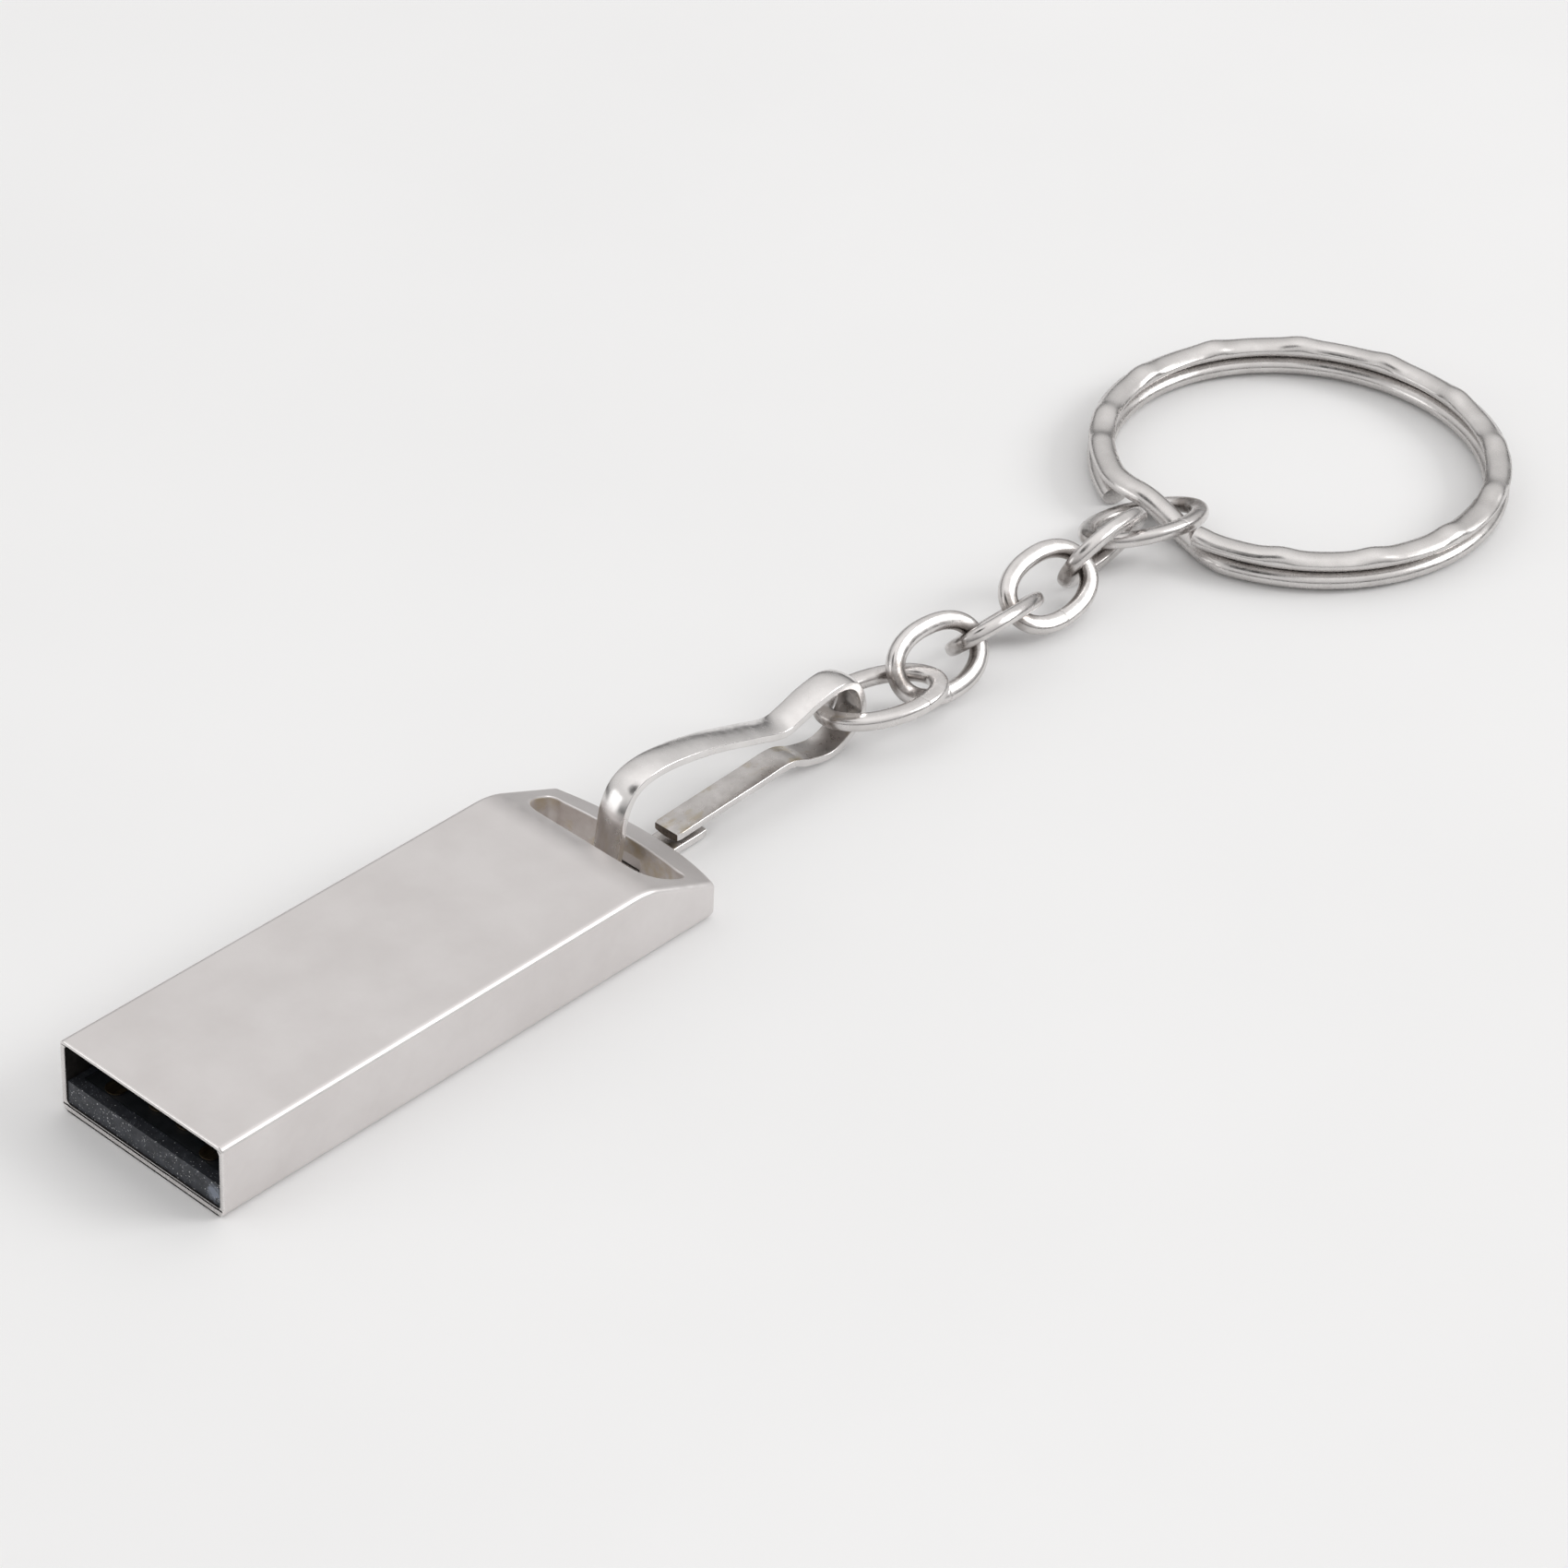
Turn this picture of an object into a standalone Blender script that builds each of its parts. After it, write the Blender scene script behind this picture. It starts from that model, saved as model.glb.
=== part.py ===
"""Slim metal USB flash drive with a spring hook, six oval chain links and a split ring.

The drive lies on its flat underside, and the hook, chain and ring trail behind it. The origin is on
the underside at the middle of the housing. +Y runs from the plug's mouth to the ring and +Z is up.
"""

from math import asin, cos, pi, radians, sin, tan

import bmesh
import bpy
from mathutils import Matrix, Vector

MM = 0.001

# Gap between stationary pieces that would touch, kept small because the drive is thin.
FIT_GAP = 0.05 * MM

# Housing: one casting, whose front end is the plug.
HOUSING_WIDTH = 12.0 * MM
HOUSING_HEIGHT = 4.5 * MM
MOUTH_Y = -18.0 * MM
SLOPE_START_Y = 11.9 * MM
SLOPE_BEND_RADIUS = 5.0 * MM
END_CORNER_Y = 17.0 * MM
END_MIDDLE_Y = 18.3 * MM
END_WALL_TOP = 1.75 * MM
END_TOP_RADIUS = 0.25 * MM
TOP_EDGE_RADIUS = 0.35 * MM
BOTTOM_EDGE_RADIUS = 0.9 * MM
END_CORNER_RADIUS = 1.1 * MM
SIDE_WALL = 0.3 * MM
TOP_WALL = 0.3 * MM
BOTTOM_WALL = 0.45 * MM
CAVITY_END_Y = 8.5 * MM
BLANK_LENGTH = 60.0 * MM
CUTTER_SPAN = 20.0 * MM

# Slot across the sloping end, and the bar that it leaves for the hook. A notch under the bar's
# middle lets the hook pass while the drive lies flat.
SLOT_HALF_WIDTH = 5.0 * MM
SLOT_CORNER_X = 4.2 * MM
SLOT_FRONT_Y = 13.15 * MM
SLOT_FRONT_RADIUS = 1.6 * MM
SLOT_STRAIGHT_Y = 15.2 * MM
SLOT_SIDE_Y = 15.8 * MM
SLOT_MIDDLE_Y = 16.3 * MM
NOTCH_WIDTH = 2.3 * MM
BAR_BOTTOM = 0.85 * MM
BAR_BOTTOM_RADIUS = 0.8 * MM
BAR_CENTRE = Vector((0.0, 17.3, 1.65)) * MM

# Memory module on its tray.
TRAY_BACK_GAP = 0.5 * MM
TRAY_HEIGHT = 1.4 * MM
TRAY_FRONT_Y = MOUTH_Y + 0.15 * MM
TRAY_WALL = 0.4 * MM
TRAY_FLOOR = 0.25 * MM
TRAY_LIP = 0.7 * MM
SUBSTRATE_THICKNESS = 0.3 * MM
CONTACT_THICKNESS = 0.08 * MM
CONTACT_WIDTH = 1.1 * MM
CONTACT_REAR_RADIUS = 0.2 * MM
DIE_THICKNESS = 0.18 * MM
POCKET_DEPTH = 0.5 * MM

# Hook: one bent strip. The route lists (y, z) points of its centreline from the tip, round the bar,
# along the arch and round the eye; the gate carries on from the eye back to the tip.
HOOK_STRIP_WIDTH = 1.8 * MM
HOOK_STRIP_THICKNESS = 0.6 * MM
HOOK_BODY_ROUTE = (
    (21.8, 0.32), (16.6, 0.32), (15.3, 0.6), (14.85, 1.5), (15.0, 2.7), (15.4, 4.9), (16.4, 6.1),
    (18.5, 6.4), (22.0, 5.8), (25.4, 4.75), (27.8, 4.0), (29.1, 4.18), (30.6, 4.65), (32.4, 4.85),
    (33.75, 4.2), (34.35, 2.5), (33.6, 1.25), (32.0, 0.5), (30.1, 0.85), (28.55, 1.43),
)
HOOK_GATE_ROUTE = ((28.35, 1.49), (26.0, 1.38), (22.5, 1.24), (19.5, 1.1))
GATE_ROOT = Vector((0.0, 28.45, 1.46)) * MM
EYE_END = Vector((0.0, 34.2, 2.4)) * MM

# Chain: oval links of round wire. Each row is where the link's tail wire sits (x, y, z), then its
# heading, rise and roll in degrees, its length, its width and how square its outline is.
WIRE_DIAMETER = 1.1 * MM
CHAIN_LINKS = (
    (-0.5, 32.75, 2.1, 16.5, 1.0, 2.0, 8.2, 5.0, 2.0),
    (0.35, 37.75, 2.55, 1.5, -2.5, -54.0, 7.5, 4.9, 2.2),
    (0.6, 43.0, 2.6, -7.5, -7.0, 45.0, 7.5, 4.9, 2.2),
    (0.0, 48.15, 2.0, -4.0, 2.5, -38.0, 7.5, 4.9, 2.2),
    (-0.25, 53.3, 2.4, -5.0, -1.5, 66.0, 7.5, 4.9, 2.2),
    (-1.9, 57.65, 1.7, 8.0, -4.0, 18.5, 8.6, 6.2, 2.0),
)

# Split ring: a wire that goes round nearly twice, and steps down to its lower turn in the last link.
# Angles are in degrees from +X, counterclockwise from above.
RING_CENTRE = Vector((0.42, 73.83, 0.0)) * MM
RING_RADIUS = 11.9 * MM
RING_WIRE_WIDTH = 1.6 * MM
RING_WIRE_HEIGHT = 1.15 * MM
RING_UPPER_Z = 1.85 * MM
RING_LOWER_Z = 0.6 * MM
RING_START = 278
RING_END = 962
RING_STEPS = 98
STEP_DIP = 1.4 * MM
STEP_DIP_ANGLES = (598, 626, 650)
STEP_DOWN_ANGLES = (610, 630)


def clear_scene():
    for thing in list(bpy.data.objects):
        bpy.data.objects.remove(thing)


def new_collection(name):
    made = bpy.data.collections.new(name)
    bpy.context.scene.collection.children.link(made)
    return made


def new_material(name, colour, roughness, metallic):
    made = bpy.data.materials.new(name)
    made.use_nodes = True
    shader = made.node_tree.nodes["Principled BSDF"]
    shader.inputs["Base Color"].default_value = (*colour, 1.0)
    shader.inputs["Roughness"].default_value = roughness
    shader.inputs["Metallic"].default_value = metallic
    return made


def add_object(name, data, material, collection):
    made = bpy.data.objects.new(name, data)
    if material:
        data.materials.append(material)
    collection.objects.link(made)
    return made


def as_cutter(thing):
    thing.hide_render = True
    thing.display_type = "WIRE"
    return thing


def boolean(target, cutter, operation):
    step = target.modifiers.new(operation.lower(), "BOOLEAN")
    step.operation = operation
    step.object = cutter


def box(name, low, high, material, collection):
    """A block between two corners."""
    low, high = Vector(low), Vector(high)
    work = bmesh.new()
    bmesh.ops.create_cube(work, size=1.0)
    bmesh.ops.scale(work, vec=high - low, verts=work.verts)
    mesh = bpy.data.meshes.new(name)
    work.to_mesh(mesh)
    work.free()
    made = add_object(name, mesh, material, collection)
    made.location = (low + high) / 2
    return made


def filleted(corners, steps=4):
    """An outline from (x, y, radius) corners, with an arc at each corner that has a radius."""
    points = []
    for index, (x, y, radius) in enumerate(corners):
        corner = Vector((x, y))
        if not radius:
            points.append(corner)
            continue
        back = (Vector(corners[index - 1][:2]) - corner).normalized()
        ahead = (Vector(corners[(index + 1) % len(corners)][:2]) - corner).normalized()
        half = back.angle(ahead) / 2
        centre = corner + (back + ahead).normalized() * radius / sin(half)
        first = corner + back * radius / tan(half) - centre
        last = corner + ahead * radius / tan(half) - centre
        sweep = first.angle_signed(last)
        for step in range(steps + 1):
            turn = Matrix.Rotation(-sweep * step / steps, 2)
            points.append(centre + turn @ first)
    return points


def arc_between(start, middle, end, steps):
    """Points on the arc from start to end, both at one y, that bulges up to y = middle."""
    half = (end[0] - start[0]) / 2
    rise = middle - start[1]
    radius = (half * half + rise * rise) / (2 * rise)
    reach = asin(half / radius)
    centre = Vector(((start[0] + end[0]) / 2, middle - radius))
    return [
        centre + Vector((sin(angle), cos(angle))) * radius
        for angle in (-reach + 2 * reach * step / steps for step in range(steps + 1))
    ]


def plate(name, outline, thickness, axes, material, collection):
    """A flat outline with a thickness. axes names its two own directions, such as XY."""
    curve = bpy.data.curves.new(name, "CURVE")
    curve.dimensions = "2D"
    curve.fill_mode = "BOTH"
    curve.extrude = thickness / 2
    spline = curve.splines.new("POLY")
    spline.points.add(len(outline) - 1)
    for point, spot in zip(spline.points, outline):
        point.co = (spot[0], spot[1], 0.0, 1.0)
    spline.use_cyclic_u = True
    across = {"XY": "Z", "XZ": "Y", "YZ": "X"}[axes]
    columns = {"X": (1, 0, 0), "Y": (0, 1, 0), "Z": (0, 0, 1)}
    turn = Matrix([columns[axes[0]], columns[axes[1]], columns[across]]).transposed().to_4x4()
    sketch = add_object(name + "_sketch", curve, None, collection)
    made = add_object(name, solid_mesh(sketch, name), material, collection)
    made.data.transform(turn)
    if turn.determinant() < 0:
        made.data.flip_normals()
    bpy.data.objects.remove(sketch)
    return made


def solid_mesh(thing, name):
    """The closed mesh of a curve object, with its caps welded on."""
    bpy.context.view_layer.update()
    graph = bpy.context.evaluated_depsgraph_get()
    mesh = bpy.data.meshes.new_from_object(thing.evaluated_get(graph))
    mesh.name = name
    work = bmesh.new()
    work.from_mesh(mesh)
    bmesh.ops.remove_doubles(work, verts=work.verts, dist=0.001 * MM)
    bmesh.ops.recalc_face_normals(work, faces=work.faces)
    work.to_mesh(mesh)
    work.free()
    return mesh


def empty_at(name, point, collection):
    made = bpy.data.objects.new(name, None)
    made.location = point
    collection.objects.link(made)
    return made


def smooth_route(points, steps):
    """Points on a Catmull-Rom curve through the given points."""
    ends = [points[0] * 2 - points[1], *points, points[-1] * 2 - points[-2]]
    route = []
    for a, b, c, d in zip(ends, ends[1:], ends[2:], ends[3:]):
        for step in range(steps):
            t = step / steps
            bend = (c - a) * t + (a * 2 - b * 5 + c * 4 - d) * t**2 + (b * 3 - a - c * 3 + d) * t**3
            route.append(b + bend / 2)
    return [*route, points[-1]]


def strip_outline(route, thickness):
    """The side outline of a strip that follows a route of flat points."""
    left, right = [], []
    for index, spot in enumerate(route):
        ahead = route[min(index + 1, len(route) - 1)] - route[max(index - 1, 0)]
        side = Vector((-ahead.y, ahead.x)).normalized() * thickness / 2
        left.append(spot + side)
        right.append(spot - side)
    return left + right[::-1]


def housing_blank(material, parts, cutters):
    """The outside of the casting: a rounded cross-section, a sloping end and a bowed end wall."""
    half = HOUSING_WIDTH / 2
    section = filleted(
        [
            (-half, 0.0, BOTTOM_EDGE_RADIUS),
            (half, 0.0, BOTTOM_EDGE_RADIUS),
            (half, HOUSING_HEIGHT, TOP_EDGE_RADIUS),
            (-half, HOUSING_HEIGHT, TOP_EDGE_RADIUS),
        ]
    )
    blank = plate("housing", section, BLANK_LENGTH, "XZ", material, parts)
    side = filleted(
        [
            (MOUTH_Y, 0.0, 0.0),
            (END_MIDDLE_Y, 0.0, END_CORNER_RADIUS),
            (END_MIDDLE_Y, END_WALL_TOP, END_TOP_RADIUS),
            (SLOPE_START_Y, HOUSING_HEIGHT, SLOPE_BEND_RADIUS),
            (MOUTH_Y, HOUSING_HEIGHT, 0.0),
        ]
    )
    side_cutter = as_cutter(plate("side_profile", side, CUTTER_SPAN, "YZ", None, cutters))
    end_bow = arc_between((-half, END_CORNER_Y), END_MIDDLE_Y, (half, END_CORNER_Y), 16)
    plan = [(-half - MM, MOUTH_Y - MM), (-half - MM, END_CORNER_Y), *end_bow]
    plan += [(half + MM, END_CORNER_Y), (half + MM, MOUTH_Y - MM)]
    plan_cutter = as_cutter(plate("plan_outline", plan, CUTTER_SPAN, "XY", None, cutters))
    boolean(blank, side_cutter, "INTERSECT")
    boolean(blank, plan_cutter, "INTERSECT")
    return blank


def make_housing(material, parts, cutters):
    housing = housing_blank(material, parts, cutters)
    inner = HOUSING_WIDTH / 2 - SIDE_WALL
    cavity = box(
        "cavity_cutter",
        (-inner, MOUTH_Y - MM, BOTTOM_WALL),
        (inner, CAVITY_END_Y, HOUSING_HEIGHT - TOP_WALL),
        None,
        cutters,
    )
    far = arc_between((-SLOT_CORNER_X, SLOT_SIDE_Y), SLOT_MIDDLE_Y, (SLOT_CORNER_X, SLOT_SIDE_Y), 10)
    near = filleted(
        [
            (SLOT_HALF_WIDTH, SLOT_STRAIGHT_Y, 0.0),
            (SLOT_HALF_WIDTH, SLOT_FRONT_Y, SLOT_FRONT_RADIUS),
            (-SLOT_HALF_WIDTH, SLOT_FRONT_Y, SLOT_FRONT_RADIUS),
            (-SLOT_HALF_WIDTH, SLOT_STRAIGHT_Y, 0.0),
        ]
    )
    slot = plate("slot_cutter", near + far, CUTTER_SPAN, "XY", None, cutters)
    under_bar = filleted(
        [
            (SLOT_MIDDLE_Y - MM, -MM, 0.0),
            (END_MIDDLE_Y + MM, -MM, 0.0),
            (END_MIDDLE_Y + MM, BAR_CENTRE.z, 0.0),
            (END_MIDDLE_Y, BAR_CENTRE.z, 0.0),
            (END_MIDDLE_Y, BAR_BOTTOM, BAR_BOTTOM_RADIUS),
            (SLOT_MIDDLE_Y, BAR_BOTTOM, BAR_BOTTOM_RADIUS),
            (SLOT_MIDDLE_Y, BAR_CENTRE.z, 0.0),
            (SLOT_MIDDLE_Y - MM, BAR_CENTRE.z, 0.0),
        ]
    )
    notch = plate("notch_cutter", under_bar, NOTCH_WIDTH, "YZ", None, cutters)
    for cutter in (cavity, slot, notch):
        boolean(housing, as_cutter(cutter), "DIFFERENCE")


def make_module(materials, parts, cutters):
    """The plastic tray, and on it the substrate, its contacts and the moulded chips below it."""
    inner = HOUSING_WIDTH / 2 - SIDE_WALL
    half = inner - FIT_GAP
    floor = BOTTOM_WALL + FIT_GAP
    top = floor + TRAY_HEIGHT
    back = CAVITY_END_Y - TRAY_BACK_GAP
    tray = box("carrier_tray", (-half, TRAY_FRONT_Y, floor), (half, back, top), materials["tray"], parts)
    pocket_half = half - TRAY_WALL
    pocket_front = TRAY_FRONT_Y + TRAY_LIP
    pocket_back = back - TRAY_WALL
    pocket_low = (-pocket_half, pocket_front, floor + TRAY_FLOOR)
    pocket = box("tray_pocket_cutter", pocket_low, (pocket_half, pocket_back, top + MM), None, cutters)
    boolean(tray, as_cutter(pocket), "DIFFERENCE")

    side = pocket_half - FIT_GAP
    front = pocket_front + FIT_GAP
    rear = pocket_back - FIT_GAP
    substrate_low = top - SUBSTRATE_THICKNESS
    box("module_substrate", (-side, front, substrate_low), (side, rear, top), materials["board"], parts)

    mould_top = substrate_low - FIT_GAP
    mould_low = floor + TRAY_FLOOR + FIT_GAP
    low, high = (-side, front, mould_low), (side, rear, mould_top)
    mould = box("mould_compound", low, high, materials["mould"], parts)
    pocket_floor = mould_top - POCKET_DEPTH
    make_contacts(materials["contact"], top + FIT_GAP, parts)
    chips = chip_boxes(mould_top)
    for name, (chip_low, chip_high, finish) in chips.items():
        box(name, chip_low, chip_high, materials[finish], parts)
    for name, low, high in chip_pockets(chips, pocket_floor, mould_top):
        cutter = box(name + "_pocket_cutter", low, high, None, cutters)
        boolean(mould, as_cutter(cutter), "DIFFERENCE")


def make_contacts(material, bottom, parts):
    """Four plated fingers with round front ends: the outer two start nearer the mouth."""
    pads = (
        ("contact_gnd", -3.5, 0.9, 8.4),
        ("contact_d_plus", -1.0, 1.6, 8.0),
        ("contact_d_minus", 1.0, 1.6, 8.0),
        ("contact_vbus", 3.5, 0.9, 8.4),
    )
    half = CONTACT_WIDTH / 2
    for name, centre, setback, reach in pads:
        x = centre * MM
        front = MOUTH_Y + setback * MM
        back = MOUTH_Y + reach * MM
        outline = filleted(
            [
                (x - half, front, half * 0.9),
                (x + half, front, half * 0.9),
                (x + half, back, CONTACT_REAR_RADIUS),
                (x - half, back, CONTACT_REAR_RADIUS),
            ]
        )
        pad = plate(name, outline, CONTACT_THICKNESS, "XY", material, parts)
        pad.location.z = bottom + CONTACT_THICKNESS / 2


def chip_boxes(top):
    """Low corner, high corner and finish of each chip. They hang under the substrate, each in its gap."""
    sizes = {
        "nand_die_upper": (0.0, -7.5, 8.0, 9.0, DIE_THICKNESS, 0, "die"),
        "nand_die_lower": (0.0, -7.0, 8.0, 9.0, DIE_THICKNESS, DIE_THICKNESS + FIT_GAP, "die"),
        "controller_die": (0.0, 1.0, 3.4, 3.4, 0.25 * MM, 0, "die"),
        "capacitor_1": (-3.4, -0.4, 1.0, 0.5, 0.4 * MM, 0, "ceramic"),
        "capacitor_2": (-3.4, 1.4, 1.0, 0.5, 0.4 * MM, 0, "ceramic"),
        "capacitor_3": (3.4, -0.4, 1.0, 0.5, 0.4 * MM, 0, "ceramic"),
        "resistor_1": (3.4, 1.4, 1.0, 0.5, 0.3 * MM, 0, "resistor"),
        "resistor_2": (3.4, 3.2, 1.0, 0.5, 0.3 * MM, 0, "resistor"),
    }
    boxes = {}
    for name, (x, y, width, length, thick, drop, finish) in sizes.items():
        low = ((x - width / 2) * MM, (y - length / 2) * MM, top - drop - thick)
        high = ((x + width / 2) * MM, (y + length / 2) * MM, top - drop)
        boxes[name] = (low, high, finish)
    return boxes


def chip_pockets(chips, floor, top):
    """One pocket for each chip, and a single one for the two stacked memory dies."""
    for name, (low, high, _finish) in chips.items():
        if name == "nand_die_lower":
            continue
        low_y = low[1]
        high_y = high[1]
        if name == "nand_die_upper":
            high_y = chips["nand_die_lower"][1][1]
        corner = (low[0] - FIT_GAP, low_y - FIT_GAP, floor)
        yield name, corner, (high[0] + FIT_GAP, high_y + FIT_GAP, top + MM)


def make_hook(material, parts, joints):
    """The hook's strip in two bodies: the stiff body, and the gate that flexes inwards."""
    for name, route, point in (
        ("hook_body", HOOK_BODY_ROUTE, BAR_CENTRE),
        ("hook_gate", HOOK_GATE_ROUTE, GATE_ROOT),
    ):
        spots = smooth_route([Vector(spot) * MM for spot in route], 5)
        outline = strip_outline(spots, HOOK_STRIP_THICKNESS)
        strip = plate(name, outline, HOOK_STRIP_WIDTH, "YZ", material, parts)
        strip.data.transform(Matrix.Translation(-point))
        strip.parent = empty_at(name + "_joint", point, joints)


def link_axes(heading, rise, roll):
    """Unit vectors along a link and across it."""
    along = Vector((sin(heading) * cos(rise), cos(heading) * cos(rise), sin(rise)))
    flat = along.cross(Vector((0, 0, 1))).normalized()
    across = flat * cos(roll) + flat.cross(along) * sin(roll)
    return along, across


def link_points(middle, along, across, length, width, squareness, steps=40):
    """A super-ellipse of the wire's centreline round the link's middle."""
    points = []
    for step in range(steps):
        angle = 2 * pi * step / steps
        c, s = cos(angle), sin(angle)
        reach = abs(c) ** (2 / squareness) * (1 if c > 0 else -1) * length / 2
        spread = abs(s) ** (2 / squareness) * (1 if s > 0 else -1) * width / 2
        points.append(middle + along * reach + across * spread)
    return points


def wire(name, points, closed, material, collection):
    """A curve object through the points, with no thickness yet."""
    curve = bpy.data.curves.new(name, "CURVE")
    curve.dimensions = "3D"
    spline = curve.splines.new("POLY")
    spline.points.add(len(points) - 1)
    for point, spot in zip(spline.points, points):
        point.co = (*spot, 1.0)
    spline.use_cyclic_u = closed
    return add_object(name, curve, material, collection)


def make_chain(material, parts, joints):
    """The links, each on a joint at the tip of the piece before it."""
    hinge = EYE_END
    for number, (x, y, z, heading, rise, roll, length, width, squareness) in enumerate(CHAIN_LINKS, 1):
        along, across = link_axes(radians(heading), radians(rise), radians(roll))
        inside = length * MM - WIRE_DIAMETER
        tail = Vector((x, y, z)) * MM
        middle = tail + along * inside / 2 - hinge
        points = link_points(middle, along, across, inside, width * MM - WIRE_DIAMETER, squareness)
        link = wire(f"chain_link_{number}", points, True, material, parts)
        link.data.bevel_depth = WIRE_DIAMETER / 2
        link.data.bevel_resolution = 3
        link.parent = empty_at(f"chain_link_{number}_joint", hinge, joints)
        hinge = tail + along * inside


def ease(value, start, end):
    """A smooth 0 to 1 as value goes from start to end."""
    t = min(max((value - start) / (end - start), 0.0), 1.0)
    return t * t * (3 - 2 * t)


def ring_point(angle):
    """The ring wire's centre at an angle. The wire dips inwards while it steps down a level."""
    first, deepest, last = STEP_DIP_ANGLES
    dip = ease(angle, first, deepest) - ease(angle, deepest, last)
    radius = RING_RADIUS - STEP_DIP * dip
    height = RING_UPPER_Z + (RING_LOWER_Z - RING_UPPER_Z) * ease(angle, *STEP_DOWN_ANGLES)
    turn = radians(angle)
    return RING_CENTRE + Vector((cos(turn) * radius, sin(turn) * radius, height))


def make_ring(material, parts, joints, cutters):
    """The split ring: an oval section that follows the coil, with flat ends."""
    section = []
    for step in range(14):
        angle = 2 * pi * step / 14
        section.append((cos(angle) * RING_WIRE_WIDTH / 2, sin(angle) * RING_WIRE_HEIGHT / 2, 0.0))
    profile = as_cutter(wire("ring_section", section, True, None, cutters))
    pivot = ring_point(sum(STEP_DOWN_ANGLES) / 2)
    sweep = RING_END - RING_START
    angles = [RING_START + sweep * step / RING_STEPS for step in range(RING_STEPS + 1)]
    coil = wire("ring_coil", [ring_point(angle) - pivot for angle in angles], False, None, cutters)
    coil.data.bevel_mode = "OBJECT"
    coil.data.bevel_object = profile
    coil.data.use_fill_caps = True
    coil.data.twist_mode = "Z_UP"
    ring = add_object("split_ring", solid_mesh(coil, "split_ring"), material, parts)
    bpy.data.objects.remove(coil)
    ring.parent = empty_at("split_ring_joint", pivot, joints)


def build():
    clear_scene()
    parts = new_collection("usb_flash_drive")
    joints = new_collection("joints")
    cutters = new_collection("cutters")
    metal = new_material("housing_metal", (0.62, 0.59, 0.56), 0.35, 1.0)
    plated = new_material("plated_steel", (0.66, 0.63, 0.60), 0.22, 1.0)
    module = {
        "tray": new_material("tray_plastic", (0.055, 0.058, 0.065), 0.55, 0.0),
        "board": new_material("board_laminate", (0.03, 0.05, 0.04), 0.5, 0.0),
        "contact": new_material("contact_gold", (0.62, 0.43, 0.17), 0.35, 1.0),
        "mould": new_material("mould_epoxy", (0.02, 0.02, 0.022), 0.6, 0.0),
        "die": new_material("silicon", (0.12, 0.13, 0.16), 0.2, 0.6),
        "ceramic": new_material("capacitor_ceramic", (0.45, 0.33, 0.22), 0.5, 0.0),
        "resistor": new_material("resistor_black", (0.03, 0.03, 0.03), 0.5, 0.0),
    }
    make_housing(metal, parts, cutters)
    make_module(module, parts, cutters)
    make_hook(plated, parts, joints)
    make_chain(plated, parts, joints)
    make_ring(plated, parts, joints, cutters)


build()
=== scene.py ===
"""The looks of a slim metal USB flash drive: a frosted nickel housing, a plated spring hook,
six polished links and a hammered split ring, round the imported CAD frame.

Shapes are worked out in millimetres and scaled to metres when their objects are made.
"""

from math import asin, ceil, cos, exp, pi, radians, sin, sqrt, tan

import bmesh
import bpy
from mathutils import Matrix, Vector


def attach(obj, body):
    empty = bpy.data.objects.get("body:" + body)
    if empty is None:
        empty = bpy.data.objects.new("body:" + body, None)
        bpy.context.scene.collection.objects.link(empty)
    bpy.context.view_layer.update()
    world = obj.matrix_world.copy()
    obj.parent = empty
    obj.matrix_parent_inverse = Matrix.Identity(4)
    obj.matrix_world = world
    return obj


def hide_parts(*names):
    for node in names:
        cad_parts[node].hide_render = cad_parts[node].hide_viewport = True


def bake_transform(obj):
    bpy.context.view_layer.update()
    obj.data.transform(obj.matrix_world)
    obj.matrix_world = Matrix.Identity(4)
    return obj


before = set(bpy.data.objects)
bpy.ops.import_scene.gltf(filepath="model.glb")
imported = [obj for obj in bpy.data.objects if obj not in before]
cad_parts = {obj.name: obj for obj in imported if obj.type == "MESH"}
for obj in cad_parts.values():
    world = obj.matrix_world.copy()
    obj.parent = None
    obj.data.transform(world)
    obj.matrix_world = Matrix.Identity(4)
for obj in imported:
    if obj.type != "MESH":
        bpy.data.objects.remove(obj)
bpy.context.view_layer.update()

MM = 0.001

# Camera: how it looks at the drive, in degrees and millimetres.
CAMERA_TARGET = Vector((0.39, 28.48, 0.0))
CAMERA_AZIMUTH = 41.09
CAMERA_ELEVATION = 36.19
CAMERA_ROLL = 3.05
CAMERA_DISTANCE = 292.05
CAMERA_LENS = 121.97
SENSOR_WIDTH = 36.0

# Light: the tent's brightness at heights from the horizon (0) to straight up (1).
SKY_STOPS = (
    (0.0, 0.05), (0.1, 0.14), (0.25, 0.5), (0.45, 0.76), (0.65, 0.83), (0.82, 1.0), (1.0, 1.18),
)
SKY_TINT = (1.0, 0.99, 0.985)
# A dark gap high up in the front of the tent, which the hook's bend mirrors. The tent darkens between
# these cosines of the angle from the gap's middle.
GAP_DIRECTION = (0.04, -0.44, 0.9)
GAP_COSINES = (0.945, 0.978)
GAP_STRENGTH = 0.02
# Where the lights point, in metres.
LIGHT_AIM = Vector((0.0, 0.03, 0.0))
FLOOR_SIZE = 1500.0
FLOOR_Z = -0.02

# Housing
WIDTH = 12.0
HEIGHT = 4.5
MOUTH_Y = -18.0
SLOPE_START_Y = 11.9
SLOPE_BEND_RADIUS = 5.0
END_CORNER_Y = 17.0
END_MIDDLE_Y = 18.3
SLOPE_END_Z = 1.75
CORNER_RADIUS = 0.35
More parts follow.
